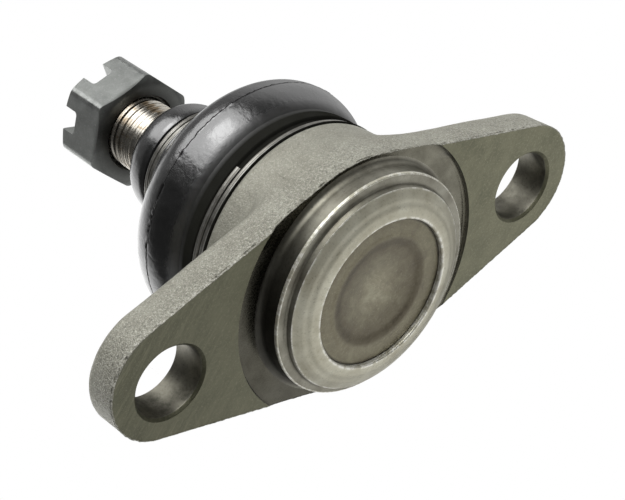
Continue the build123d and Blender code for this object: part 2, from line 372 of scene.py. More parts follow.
def polar(tree):
    """Object coordinates, distance from the stud axis and height, all in millimetres."""
    vector = object_coordinates(tree)
    parts = separate(tree, vector)
    flat = tree.nodes.new("ShaderNodeCombineXYZ")
    tree.links.new(parts["X"], flat.inputs["X"])
    tree.links.new(parts["Y"], flat.inputs["Y"])
    return vector, length_of(tree, flat.outputs["Vector"]), parts["Z"]


def ring_lines(tree, radius, height, scale, detail=5.0):
    """Fine noise that changes along the profile only, as a lathe tool leaves it."""
    combine = tree.nodes.new("ShaderNodeCombineXYZ")
    tree.links.new(radius, combine.inputs["X"])
    tree.links.new(height, combine.inputs["Y"])
    return noise_node(tree, combine.outputs["Vector"], scale, detail)


def forged_material():
    """Rough forged skin: grey scale with a salt-and-pepper grain, coarsest near the machined face and
    fine on the barrel, with the face's edge worn bright in places."""
    material, tree, shader = new_material("forged_skin")
    vector, _, height = polar(tree)
    patches = noise_node(tree, vector, 0.16, 5.0, 0.6)
    grain = noise_node(tree, vector, 2.2, 3.0, 0.75)
    specks = noise_node(tree, vector, 4.2, 2.0, 0.5)
    wear = noise_node(tree, vector, 2.0, 4.0, 0.7)
    coarse = map_range(tree, height, 1.0, 9.0, 1.0, 0.42)
    base = ramp(tree, patches, [(0.30, (0.246, 0.240, 0.196)), (0.50, (0.300, 0.294, 0.244)),
                                (0.70, (0.344, 0.340, 0.286))])
    bright = map_range(tree, specks, 0.48, 0.72, 0.0, 0.8)
    speckled = mix_colour(tree, multiply(tree, bright, coarse), base, (0.68, 0.67, 0.59))
    pits = map_range(tree, grain, 0.34, 0.50, 0.75, 0.0)
    pitted = mix_colour(tree, multiply(tree, pits, coarse), speckled, (0.085, 0.083, 0.068))
    edge = map_range(tree, height, 0.1, 1.3, 1.0, 0.0)
    worn = map_range(tree, wear, 0.52, 0.60, 0.0, 1.0)
    rubbed = mix_colour(tree, multiply(tree, worn, edge), pitted, (0.64, 0.63, 0.57))
    finish_shader(tree, shader, rubbed, 0.45, varied(tree, grain, 0.46, 0.66),
                  [(multiply(tree, grain, coarse), 0.35, 0.8), (specks, 0.06, 0.5)])
    return material


def machined_material():
    """Ground flange face: olive-grey and mottled, with slanting grinding marks and painted shade towards -X.
    """
    material, tree, shader = new_material("machined_face")
    vector = object_coordinates(tree)
    stretched = mapped(tree, vector, (9.0, 0.7, 1.0), "TEXTURE", radians(-50))
    marks = noise_node(tree, stretched, 0.9, 6.0, 0.65)
    clouds = noise_node(tree, vector, 0.16, 5.0, 0.65)
    grain = noise_node(tree, vector, 2.2, 5.0, 0.7)
    along = separate(tree, vector)["X"]
    base = ramp(tree, clouds, [(0.32, (0.108, 0.108, 0.066)), (0.68, (0.204, 0.200, 0.132))])
    ground = map_range(tree, along, -44.0, -24.0, 1.0, 0.25)
    low_marks = multiply(tree, map_range(tree, marks, 0.34, 0.48, 0.55, 0.0), ground)
    high_marks = multiply(tree, map_range(tree, marks, 0.54, 0.70, 0.0, 0.7), ground)
    streaked = mix_colour(tree, low_marks, base, (0.060, 0.060, 0.036))
    marked = mix_colour(tree, high_marks, streaked, (0.300, 0.290, 0.195))
    flecked = mix_colour(tree, map_range(tree, grain, 0.52, 0.68, 0.0, 0.55), marked,
                         (0.300, 0.290, 0.200))
    # painted shade: the face darkens towards -X, where the object shades itself
    painted_shade_minus_x = map_range(tree, along, -42.0, 42.0, 0.55, 0.0)
    colour = mix_colour(tree, painted_shade_minus_x, flecked, (0.040, 0.040, 0.026))
    finish_shader(tree, shader, colour, 0.80, varied(tree, clouds, 0.38, 0.50),
                  [(multiply(tree, marks, ground), 0.04, 0.6), (grain, 0.08, 0.6)])
    return material


def turned_material(name, dark, light, roughness, metallic, line_strength, stain_and_shade=None, worn=()):
    """Lathe-turned steel with fine rings round the stud axis. Its -X side can be darkened by painted
    shade, given as (x of full shade, x of none, strength). Rims can be worn bright in places: worn holds
    (radius that is plain, radius that is bright)."""
    material, tree, shader = new_material(name)
    vector, radius, height = polar(tree)
    rings = ring_lines(tree, radius, height, 1.6)
    clouds = noise_node(tree, vector, 0.22, 5.0, 0.65)
    grain = noise_node(tree, vector, 2.6, 4.0, 0.65)
    base = mix_colour(tree, map_range(tree, clouds, 0.35, 0.65, 0.0, 1.0), dark, light)
    lined = mix_colour(tree, map_range(tree, rings, 0.40, 0.66, 0.0, 0.30), base, light)
    colour = mix_colour(tree, map_range(tree, grain, 0.34, 0.44, 0.35, 0.0), lined,
                        tuple(0.4 * c for c in dark))
    # painted shade: the -X side is darkened where shade falls
    if stain_and_shade:
        darkened = map_range(tree, separate(tree, vector)["X"], *stain_and_shade, 0.0)
        colour = mix_colour(tree, darkened, colour, (0.012, 0.011, 0.009))
    nicks = noise_node(tree, vector, 0.9, 4.0, 0.7)
    for plain, bright in worn:
        rim = multiply(tree, map_range(tree, radius, plain, bright, 0.0, 1.0),
                       map_range(tree, nicks, 0.44, 0.56, 0.10, 0.95))
        colour = mix_colour(tree, rim, colour, (0.80, 0.79, 0.72))
    finish_shader(tree, shader, colour, metallic, varied(tree, grain, roughness - 0.05, roughness + 0.08),
                  [(rings, 0.02, line_strength), (grain, 0.03, 0.35)])
    return material


def cover_material():
    """Pressed cover: dull brownish olive steel, mottled and lighter in the middle, with painted shade in a
    ring at the dish's step and a painted shadow line round its rim, under the lip.
    """
    material, tree, shader = new_material("cover_skin")
    vector, radius, height = polar(tree)
    mottle = noise_node(tree, vector, 0.35, 7.0, 0.68, 0.4)
    rings = ring_lines(tree, radius, height, 1.1)
    grain = noise_node(tree, vector, 2.2, 4.0, 0.7)
    base = ramp(tree, mottle, [(0.30, (0.252, 0.218, 0.147)), (0.52, (0.410, 0.376, 0.265)),
                               (0.72, (0.609, 0.584, 0.441))])
    ringed = mix_colour(tree, map_range(tree, rings, 0.4, 0.7, 0.0, 0.25), base,
                        (0.567, 0.546, 0.420))
    flecked = mix_colour(tree, map_range(tree, grain, 0.55, 0.72, 0.0, 0.5), ringed,
                         (0.756, 0.735, 0.588))
    # painted shade by radius: a dark ring at the dish's step and a dark line under the lip's inner edge; the
    # middle is lighter
    tone_and_painted_shade_by_radius = ramp(tree, map_range(tree, radius, 0.0, 14.0, 0.0, 1.0),
                 [(0.10, (0.62, 0.62, 0.60)), (0.42, (0.40, 0.39, 0.36)), (0.60, (0.27, 0.25, 0.22)),
                  (0.70, (0.25, 0.23, 0.20)), (0.76, (0.43, 0.42, 0.38)), (0.95, (0.40, 0.39, 0.35)),
                  (0.98, (0.08, 0.075, 0.065))])
    finish_shader(tree, shader, mix_colour(tree, 1.0, flecked, tone_and_painted_shade_by_radius, "MULTIPLY"), 0.55,
                  varied(tree, mottle, 0.36, 0.50), [(mottle, 0.18, 0.7), (grain, 0.06, 0.6)])
    return material


def rubber_material(name, shade, sheen=None):
    """Black moulded rubber with an uneven bloom. It is matt, or with a sheen (start, full) it grows
    glossy between those two heights."""
    material, tree, shader = new_material(name)
    vector, _, height = polar(tree)
    bloom = noise_node(tree, vector, 0.30, 5.0, 0.62)
    ripple = noise_node(tree, vector, 0.55, 3.0, 0.5, 0.6)
    grain = noise_node(tree, vector, 1.6, 4.0, 0.6)
    colour = ramp(tree, bloom, [(0.3, (0.6 * shade,) * 3), (0.7, (1.3 * shade,) * 3)])
    shader.inputs["IOR"].default_value = 1.8
    if sheen:
        dusty = map_range(tree, height, *sheen, 0.3, 0.0)
        colour = mix_colour(tree, dusty, colour, (0.036, 0.036, 0.028))
        gloss = map_range(tree, height, *sheen, 0.0, 1.0)
        roughness = math_node(tree, "ADD", varied(tree, bloom, 0.19, 0.29),
                              map_range(tree, gloss, 0.0, 1.0, 0.40, 0.0))
        tree.links.new(gloss, shader.inputs["Specular IOR Level"])
    else:
        roughness = varied(tree, bloom, 0.59, 0.69)
        shader.inputs["Specular IOR Level"].default_value = 0.0
    finish_shader(tree, shader, colour, 0.0, roughness,
                  [(grain, 0.02, 0.2), (bloom, 0.25, 0.2), (ripple, 0.22, 0.30)])
    return material


def stud_material():
    """Bright rolled thread with brown bands along it, painted as reflections."""
    material, tree, shader = new_material("stud_steel")
    vector = object_coordinates(tree)
    # painted reflection: brown bands along the stud
    painted_reflection_bands = noise_node(tree, mapped(tree, vector, (1.0, 1.0, 0.35)), 0.30, 3.0, 0.6, 0.4)
    grain = noise_node(tree, vector, 1.2, 3.0, 0.6)
    base = ramp(tree, painted_reflection_bands, [(0.36, (0.36, 0.28, 0.19)), (0.48, (0.57, 0.53, 0.46)),
                                (0.70, (0.68, 0.66, 0.61))])
    finish_shader(tree, shader, base, 1.0, varied(tree, grain, 0.22, 0.30), [(grain, 0.01, 0.15)])
    return material


def nut_material():
    """Dark phosphate steel, worn lighter here and there, darker round the stud by its bearing face."""
    material, tree, shader = new_material("nut_phosphate")
    vector, radius, height = polar(tree)
    clouds = noise_node(tree, vector, 0.28, 5.0, 0.62)
    grain = noise_node(tree, vector, 3.0, 5.0, 0.65)
    wear = noise_node(tree, vector, 0.9, 4.0, 0.6)
    base = ramp(tree, clouds, [(0.30, (0.180, 0.186, 0.178)), (0.70, (0.276, 0.286, 0.272))])
    flecked = mix_colour(tree, map_range(tree, grain, 0.52, 0.75, 0.0, 0.4), base,
                         (0.43, 0.44, 0.43))
    corner = map_range(tree, radius, 11.35, 11.7, 0.0, 1.0)
    rubbed = map_range(tree, wear, 0.42, 0.62, 0.1, 0.5)
    worn = mix_colour(tree, multiply(tree, corner, rubbed), flecked, (0.53, 0.54, 0.53))
    # darker round the stud towards the bearing face
    near = map_range(tree, radius, 7.6, 12.0, 1.0, 0.45)
    low = map_range(tree, height, 61.2, 62.2, 0.95, 0.0)
    darkened = mix_colour(tree, multiply(tree, near, low), worn, (0.020, 0.020, 0.018))
    finish_shader(tree, shader, darkened, 0.90, varied(tree, clouds, 0.34, 0.46),
                  [(wear, 0.08, 0.3), (grain, 0.04, 0.4)])
    return material


def wire_material():
    """Flat spring wire, light grey with fine drawn lines along it and slightly stained."""
    material, tree, shader = new_material("ring_wire")
    vector, radius, height = polar(tree)
    stain_and_shade = noise_node(tree, vector, 0.35, 5.0, 0.6)
    drawn = ring_lines(tree, radius, height, 4.0)
    base = ramp(tree, stain_and_shade, [(0.35, (0.22, 0.215, 0.195)), (0.65, (0.44, 0.435, 0.405))])
    lined = mix_colour(tree, map_range(tree, drawn, 0.44, 0.56, 0.65, 0.0), base,
                       (0.09, 0.08, 0.065))
    finish_shader(tree, shader, lined, 0.85, varied(tree, stain_and_shade, 0.30, 0.42),
                  [(drawn, 0.03, 0.4), (stain_and_shade, 0.03, 0.3)])
    return material


def plain_material(name, colour, roughness, metallic):
    """Finish of a hidden piece, with a light grain."""
    material, tree, shader = new_material(name)
    vector = object_coordinates(tree)
    grain = noise_node(tree, vector, 1.5, 5.0, 0.6)
    darker = tuple(0.8 * c for c in colour)
    tree.links.new(mix_colour(tree, varied(tree, grain, 0.0, 1.0), colour, darker),
                   shader.inputs["Base Color"])
    shader.inputs["Roughness"].default_value = roughness
    shader.inputs["Metallic"].default_value = metallic
    bump(tree, shader, [(grain, 0.03, 0.3)])
    return material


FORGED = forged_material()
MACHINED = machined_material()
# turned steel: dark and light colour, roughness, metallic, strength of its rings
BOSS_STEEL = ((0.150, 0.140, 0.108), (0.270, 0.262, 0.215), 0.40, 0.8, 0.2)
TURNED = turned_material("turned_boss", *BOSS_STEEL)
# relief floor: darker than the boss's steel partly as painted shade in the recess, with more painted shade on
# its -X side
RELIEF = turned_material("relief_floor", (0.085, 0.080, 0.060), (0.140, 0.134, 0.104), 0.26, 1.0, 0.25,
                         stain_and_shade=(-16.0, 16.0, 0.58))
# boss foot and wall: the boss's turned steel with painted shade on its -X side
FOOT = turned_material("boss_wall", *BOSS_STEEL, stain_and_shade=(-20.5, -9.0, 0.85))
DRILLED = turned_material("drilled_wall", (0.100, 0.096, 0.078), (0.260, 0.250, 0.205), 0.46, 1.0, 0.3)
LIP = turned_material("rolled_lip", (0.400, 0.376, 0.284), (0.560, 0.545, 0.440), 0.42, 0.60, 0.3,
                     worn=((14.45, 14.15), (18.55, 18.75)))
COVER = cover_material()
RUBBER = rubber_material("boot_rubber", shade=0.008, sheen=(20.2, 22.8))
DULL_RUBBER = rubber_material("boot_rubber_dull", shade=0.012)
STUD = stud_material()
NUT = nut_material()
WIRE = wire_material()
SPRING = plain_material("spring_steel", (0.30, 0.30, 0.31), roughness=0.35, metallic=0.9)
BEARING = plain_material("bearing_plastic", (0.80, 0.78, 0.70), roughness=0.45, metallic=0.0)

# the housing's skins, and the one that each finish of its section takes
HOUSING_SKINS = [FORGED, MACHINED, TURNED, LIP, RELIEF, FOOT]
FINISHES = {"forged": 0, "burr": 0, "notch": 0, "face": 1, "turned": 2, "lip": 3, "relief": 4, "foot": 5}


# ---- housing ----

def centred_reach(angle, inset):
    """Distance from the middle to the nominal flange outline, drawn in by an inset."""
    waist = WAIST_RADIUS - inset
    lug = LUG_RADIUS - inset
    u, v = abs(cos(angle)), abs(sin(angle))
    lean = (waist - lug) / HOLE_REACH
    rise = sqrt(1 - lean * lean)
    if v >= rise - 1e-12:
        return waist
    if v * (HOLE_REACH + lug * lean) >= u * lug * rise:
        return waist / (lean * u + rise * v)
    return HOLE_REACH * u + sqrt(lug * lug - (HOLE_REACH * v) ** 2)


def outline_reach(angle, height):
    """Distance from the stud axis to the forged outline at a height. It has slipped towards -Y
    against the drilled holes, by less on the nut side: not at all at -X and by 30% less at +X."""
    rise = height / FLANGE_THICKNESS
    slip = WAIST_SLIP + (LUG_SLIP - WAIST_SLIP) * abs(cos(angle))
    slip *= 1 - rise * (0.65 - 0.35 * cos(angle))
    inset = FACE_INSET + (DRAFT * FLANGE_THICKNESS - FACE_INSET) * rise
    reach = centred_reach(angle, inset)
    for _ in range(4):
        x, y = reach * cos(angle), reach * sin(angle) + slip
        reach += centred_reach(atan2(y, x), inset) - hypot(x, y)
    return reach


def relief_depth(angle):
    """The relief is deepest towards -Y and runs out on the +Y side."""
    return RELIEF_DEPTH - RELIEF_RUNOUT * smooth_step(sin(angle), 0.1, 0.6)


def relief_height(radius, angle):
    """Height of the flange face: the relief round the boss ends in a concave wall, which softens
    where it breaks out through the flange's edge."""
    depth = relief_depth(angle)
    width = 0.45 + 2.3 * smooth_step(abs(sin(angle)), 0.55, 0.68)
    into = (radius - (RELIEF_RADIUS - width)) / width
    if into <= 0:
        return depth
    if into >= 1:
        return 0.0
    return depth * sqrt(1 - into * into)


def boss_radius(angle):
    """The boss is turned a little off the rolled lip's centre, so its wall is thin towards +Y."""
    return BOSS_RADIUS - BOSS_THINNING * max(0.0, sin(angle)) ** 1.5


def barrel_radius(height):
    return BARREL_BASE_RADIUS + (BARREL_TOP_RADIUS - BARREL_BASE_RADIUS) * height / BARREL_TOP


def far_height(radius, edge_radius):
    """Height of the flange's nut side: flat, rising to the barrel in a fillet, rounded at the edge."""
    foot = barrel_radius(FLANGE_THICKNESS) + BARREL_FILLET
    height = FLANGE_THICKNESS
    if radius < foot:
        height += BARREL_FILLET - sqrt(max(0.0, BARREL_FILLET**2 - (foot - radius) ** 2))
    over = radius - (edge_radius - EDGE_ROUND)
    if over > 0:
        height -= EDGE_ROUND - sqrt(max(0.0, EDGE_ROUND**2 - over**2))
    return height


def face_rows(angle, foot_end, edge):
    """Relief floor, its concave wall and the flange face, out to the burr along the face's edge."""
    floor_end = min(RELIEF_RADIUS - RELIEF_DEPTH, edge)
    wall_end = min(RELIEF_RADIUS, edge)
    burr = max(edge - BURR_WIDTH, wall_end)
    places = [(between(foot_end, floor_end, i / 10), "relief") for i in range(10)]
    places += [(between(floor_end, wall_end, sin(i / 6 * pi / 2)), "relief" if i < 4 else "turned")
               for i in range(6)]
    places += [(between(wall_end, burr, i / 22), "face") for i in range(22)]
    rows = [(radius, relief_height(radius, angle), finish) for radius, finish in places]
    edge_height = relief_height(edge, angle)
    rows.append((burr, edge_height, "burr"))
    return rows + [(edge + out, edge_height + up, finish) for out, up, finish in EDGE_PROFILE]


def side_rows(angle, wall_bottom):
    """The flange's forged side, its rounded edge, its far side and the fillet up to the barrel."""
    neck = barrel_radius(FLANGE_THICKNESS)
    side_end = outline_reach(angle, FLANGE_THICKNESS)
    wall_top = far_height(side_end, side_end) if side_end > neck else FLANGE_THICKNESS - EDGE_ROUND
    rows = []
    for i in range(17):
        height = between(wall_bottom, wall_top, i / 16)
        rows.append((max(outline_reach(angle, height), barrel_radius(height)), height))
    start = max(outline_reach(angle, wall_top), neck)
    radii = [max(neck, start - EDGE_ROUND * (1 - cos(i / 8 * pi / 2))) for i in range(1, 9)]
    reached = radii[-1]
    level_end = max(neck, min(neck + BARREL_FILLET, reached))
    radii += [between(reached, level_end, i / 15) for i in range(1, 15)]
    radii += [min(level_end, neck + BARREL_FILLET * (1 - sin(i / 10 * pi / 2))) for i in range(11)]
    rows += [(radius, max(wall_top, far_height(radius, start))) for radius in radii]
    for i in range(1, 12):
        height = between(FLANGE_THICKNESS + BARREL_FILLET, BARREL_TOP - 0.45, i / 11)
        rows.append((barrel_radius(height), height))
    return rows


def bore_rows():
    """From the barrel's chamfered top over the nose and down the bore to the cover's seat."""
    return [(BARREL_TOP_RADIUS - 0.12, BARREL_TOP - 0.14), (BARREL_TOP_RADIUS - 0.40, BARREL_TOP),
            (NOSE_GROOVE_RADIUS, BARREL_TOP), (NOSE_GROOVE_RADIUS, NOSE_LIP_BOTTOM),
            (NOSE_LIP_RADIUS, NOSE_LIP_BOTTOM), (NOSE_LIP_RADIUS, NOSE_TOP), (MOUTH_RADIUS, NOSE_TOP),
            (THROAT_RADIUS, UPPER_BEARING_TOP), (BORE_RADIUS, UPPER_BEARING_TOP),
            (BORE_RADIUS, COVER_BACK), (COVER_BORE_RADIUS, COVER_BACK),
            (COVER_BORE_RADIUS, COVER_FACE + COVER_RIM_DROP + 0.05), (LIP_INNER_RADIUS + 0.05, COVER_FACE)]


def shoulder_rows(boss):
    """The step from the rolled lip out to the boss's corner."""
    inner = LIP_BASE_RADIUS + 0.35
    rows = [(LIP_CORNER_RADIUS + 0.05, LIP_CORNER + 0.12), (LIP_BASE_RADIUS - 0.05, BOSS_END - 0.15),
            (LIP_BASE_RADIUS + 0.15, BOSS_END)]
    return rows + [(between(inner, boss - BOSS_CORNER, i / 4), BOSS_END) for i in range(4)]


def housing_rows(angle):
    """The housing's whole section at one angle: (radius, height, finish) from the boss foot outwards,
    round the flange's edge, up the barrel, over the nose, down the bore and back along the boss."""
    def finished(points, finish):
        return [(radius, height, finish) for radius, height in points]

    boss = boss_radius(angle)
    foot_end = boss + BOSS_FOOT
    foot_low = relief_depth(angle) - BOSS_FOOT
    edge = max(outline_reach(angle, 0.0), foot_end + 0.4)
    corner_end = BOSS_END + BOSS_CORNER
    wall = [(boss, between(corner_end, foot_low, i / 8)) for i in range(1, 8)]
    rows = face_rows(angle, foot_end, edge)
    rows += finished(side_rows(angle, relief_height(edge, angle) + 0.58), "forged")
    rows += finished(bore_rows(), "turned")
    rows += finished(lip_section(), "lip")
    rows += finished(shoulder_rows(boss), "turned")
    # the boss's rounded corner takes the lighter lip skin: a painted highlight along it
    rows += finished(arc((boss - BOSS_CORNER, corner_end), BOSS_CORNER, -90, 0, 4), "lip")
    rows += finished(wall + arc((foot_end, foot_low), BOSS_FOOT, 180, 98, 7), "foot")
    return rows


def lip_section():
    """The rolled lip from the cover outwards: inner wall, round crest, two shallow turned bands."""
    points = [(LIP_INNER_RADIUS, COVER_FACE), (LIP_INNER_RADIUS, LIP_CREST + 0.45)]
    points += arc((LIP_INNER_RADIUS + 0.35, LIP_CREST + 0.36), 0.35, 180, 262, 5)
    inner = (LIP_INNER_RADIUS + 0.6, LIP_CREST)
    outer = (LIP_CORNER_RADIUS - 0.25, LIP_CORNER - 0.02)
    steps = 14
    for i in range(steps + 1):
        share = i / steps
        crown = 0.30 * sin(share * pi)
        dip = 0.10 * max(0.0, 1 - abs(share - 0.52) / 0.16)
        points.append((between(inner[0], outer[0], share), between(inner[1], outer[1], share) - crown + dip))
    points.append((LIP_CORNER_RADIUS - 0.02, LIP_CORNER + 0.06))
    return points


def weathered(point, finish):
    """Moves a surface point by the forging's uneven skin, its edge's burr or the nicks above it."""
    where = Vector(point)
    radius = hypot(point[0], point[1])
    outward = Vector((point[0] / radius, point[1] / radius, 0.0))
    if finish == "forged":
        swell = uneven(where, 0.11, (3.1, 7.7, 1.9)) * 0.13
        swell += uneven(where, 0.55, (11.0, 2.3, 5.4)) * 0.05 + uneven(where, 2.3) * 0.022
        on_flange = 1 < point[2] < 11
        lift = uneven(where, 0.35, (0.0, 9.0, 4.0)) * 0.06 if on_flange else 0.0
        return where + outward * swell + Vector((0, 0, lift))
    if finish == "notch":
        return where - outward * max(0.0, uneven(where, 0.9, (7.0, 3.0, 1.0)) + 0.1) * 0.9
    if finish == "burr":
        ragged = uneven(where, 1.4) * 0.12 + uneven(where, 3.7) * 0.07
        drop = max(0.0, uneven(where, 1.1, (5.0, 1.0, 2.0))) * 0.12
        return where + outward * ragged - Vector((0, 0, drop))
    return where


def bolt_drill():
    """Cutter of one bolt hole with a chamfer at both ends, drilled inside and machined at its rims."""
    drilled, machined = 0, 1
    rim = HOLE_RADIUS + HOLE_CHAMFER_WIDTH * 0.75
    beyond = 1.0
    flare = rim + 1.6
    rows = [(AXIS_RADIUS, -beyond, machined), (flare, -beyond, machined), (rim, 0.0, machined),
            (HOLE_RADIUS + 0.10, HOLE_CHAMFER_DEPTH - 0.04, drilled),
            (HOLE_RADIUS, HOLE_CHAMFER_DEPTH + 0.12, drilled),
            (HOLE_RADIUS, FLANGE_THICKNESS - HOLE_CHAMFER_DEPTH, machined),
            (rim, FLANGE_THICKNESS, machined), (flare, FLANGE_THICKNESS + beyond, machined),
            (AXIS_RADIUS, FLANGE_THICKNESS + beyond, machined)]
    return lathe("drill", [row[:2] for row in rows], [DRILLED, MACHINED], 128, [row[2] for row in rows])


def make_housing():
    columns = 1080
    angles = [2 * pi * j / columns for j in range(columns)]
    sections = [housing_rows(angle) for angle in angles]
    verts = []
    face_materials = []
    for row in zip(*sections):
        for angle, (radius, height, finish) in zip(angles, row):
            point = (radius * cos(angle), radius * sin(angle), height)
            verts.append(tuple(weathered(point, finish)))
        face_materials += [FINISHES[row[0][2]]] * columns
    faces = grid_faces(len(sections[0]), columns)
    housing = finish_mesh("housing_skin", verts, faces, HOUSING_SKINS, face_materials)
    for side in (-1, 1):
        cutter = bolt_drill()
        cutter.data.transform(Matrix.Translation((side * HOLE_REACH * MM, 0, 0)))
        boolean(housing, cutter)
    return housing


# ---- cover, boot and rings ----

def make_cover():
    """Pressed cover: flat rim under the lip, soft step, sloping dish and flat middle."""
    face = [(AXIS_RADIUS / 2, COVER_FACE + COVER_DISH_DEPTH)]
    steps = 60
    for i in range(1, steps + 1):
        radius = LIP_INNER_RADIUS * i / steps
        wall = smooth_step(radius, COVER_DISH_RADIUS - 1.8, COVER_DISH_RADIUS)
        dish = COVER_DISH_DEPTH * (1 - 0.65 * smooth_step(radius, 2.5, 9.5) - 0.35 * wall)
        ridge = 0.08 * max(0.0, 1 - abs(radius - COVER_DISH_RADIUS - 0.4) / 0.7)
        ledge = 0.03 * max(0.0, 1 - abs(radius - 5.4) / 0.6)
        face.append((radius, COVER_FACE + dish - ridge - ledge))
    profile = face + [(COVER_RADIUS, COVER_FACE + COVER_RIM_DROP), (COVER_RADIUS, COVER_BACK),
                      (COVER_DISH_RADIUS, COVER_BACK), (6.0, COVER_BACK + COVER_DISH_DEPTH),
                      (AXIS_RADIUS / 2, COVER_BACK + COVER_DISH_DEPTH)]

    def dent(radius, height, angle):
        where = Vector((radius * cos(angle), radius * sin(angle), 0.0))
        if height > COVER_FACE + COVER_DISH_DEPTH + 0.2:
            return radius, height
        return radius, height + uneven(where, 0.28, (4.0, 4.0, 9.0)) * 0.05

    return lathe("cover_skin", profile, [COVER], 240, wobble=dent)


def boot_section():
    """The rubber boot's closed section: bead, ring groove, bulge, collar, neck groove, lip, inside."""
    outer = [(19.55, 15.35), (21.95, 15.35), (22.12, 15.42), (22.15, 15.52), (22.05, 15.60)]
    outer += [(21.35, 15.62), (21.2, 15.75), (21.2, 16.9), (21.2, 18.0), (21.3, 18.12)]
    outer += [(21.75, 18.16), (21.93, 18.3), (21.98, 18.7), (21.95, 19.6)]
    outer += arc(BULGE, BULGE_RADIUS, -50, -2.4, 24)
    outer += [(BULGE[0] + BULGE_RADIUS + dr, BULGE[1] + dz) for dr, dz in CREASE]
    outer += arc(BULGE, BULGE_RADIUS, 2.4, 92, 42)
    outer += [(15.9, 34.45), (14.9, 35.0), (14.1, 35.9), (13.5, 37.1), (13.1, 38.4), (13.0, 39.6)]
    outer += arc((12.5, 41.2), 0.5, 0, 80, 5)
    outer += [(11.6, 41.9), (11.2, 42.25), (11.1, 42.7), (11.1, 43.9), (11.12, 44.4), (11.2, 44.6)]
    lip, reach, rise, drop = (8.2, 46.7), 3.2, 5.08, 2.1
    for a in range(-66, 84, 6):
        outer.append((lip[0] + reach * cos(radians(a)) ** 0.85,
                      lip[1] + (rise if a > 0 else drop) * sin(radians(a))))
    outer += [(8.1, BOOT_TOP - 0.02), (7.75, BOOT_TOP - 0.12), (7.56, BOOT_TOP - 0.45)]
    inner = [(7.56, 50.0), (7.94, 44.0), (8.05, 42.4), (9.2, 40.2), (11.0, 38.0), (13.4, 34.2)]
    inner += arc(BULGE, BULGE_RADIUS - BOOT_WALL, 105, -38, 30)
    inner += [(20.2, 21.5), (20.2, 18.7), (19.55, 18.65)]
    return outer + inner


def make_boot():
    """The boot, not quite round between its rings, with a ragged and nicked mould seam."""
    base, neck, softness, seam_reach = 19, 44, 0.10, 0.3

    def moulded(radius, height, angle):
        where = Vector((radius * cos(angle), radius * sin(angle), height))
        soft = uneven(where, 0.07, (1.0, 5.0, 2.0)) * softness if base <= height <= neck else 0.0
        seam = max(0.0, 1 - abs(height - BULGE[1]) / seam_reach)
        if seam > 0 and radius > BULGE[0]:
            direction = Vector((cos(angle), sin(angle), 0.0))
            ragged = uneven(direction, 9.0) * 0.05 + uneven(direction, 40.0) * 0.16
            height += ragged * seam
            radius += (0.26 * uneven(direction, 30.0, (0.0, 0.0, 3.0)) - 0.04) * seam
        return radius + soft, height

    section = boot_section()
    dull = [int(DULL_NECK[0] < z < DULL_NECK[1]) for _, z in section]
    return lathe("boot_skin", section, [RUBBER, DULL_RUBBER], 540, dull, moulded)


def wire_section(half_thickness, half_height):
    """A flat wire's rounded outline, with a fine groove along its outer face."""
    corner = 0.14
    section = []
    for x, z, start in ((1, -1, -90), (1, 1, 0), (-1, 1, 90), (-1, -1, 180)):
        centre = (x * (half_thickness - corner), z * (half_height - corner))
        section += arc(centre, corner, start, start + 90, 3)
        if start == -90:
            section += [(half_thickness, -0.12), (half_thickness - 0.07, -0.03), (half_thickness, 0.06)]
    return section


def wound_ring(name, radius, bottom, section_size, turns, start_angle, climb):
    """A flat wire wound round the axis with both ends in view; climb gives its rise at each turn."""
    half_thickness, half_height = section_size[0] / 2, section_size[1] / 2
    section = wire_section(half_thickness, half_height)
    steps = round(turns * 180)
    verts = []
    for k in range(steps + 1):
        turn = turns * k / steps
        angle = start_angle + 2 * pi * turn
        middle = bottom + half_height + climb(turn)
        for dr, dz in section:
            r = radius + half_thickness + dr
            verts.append((r * cos(angle), r * sin(angle), middle + dz))
    count = len(section)
    faces = grid_faces(steps + 1, count, close_rows=False)
    faces.append(tuple(range(count)))
    faces.append(tuple(steps * count + j for j in reversed(range(count))))
    return finish_mesh(name, verts, faces, [WIRE])


# ---- stud and nut ----

def thread_depth_at(turn):
    """Depth below the crest at a share of one pitch: rounded root, broad rounded crest."""
    share = abs((turn % 1.0) - 0.5) * 2
    return THREAD_DEPTH * smooth_step(share, 0.15, 1.0)


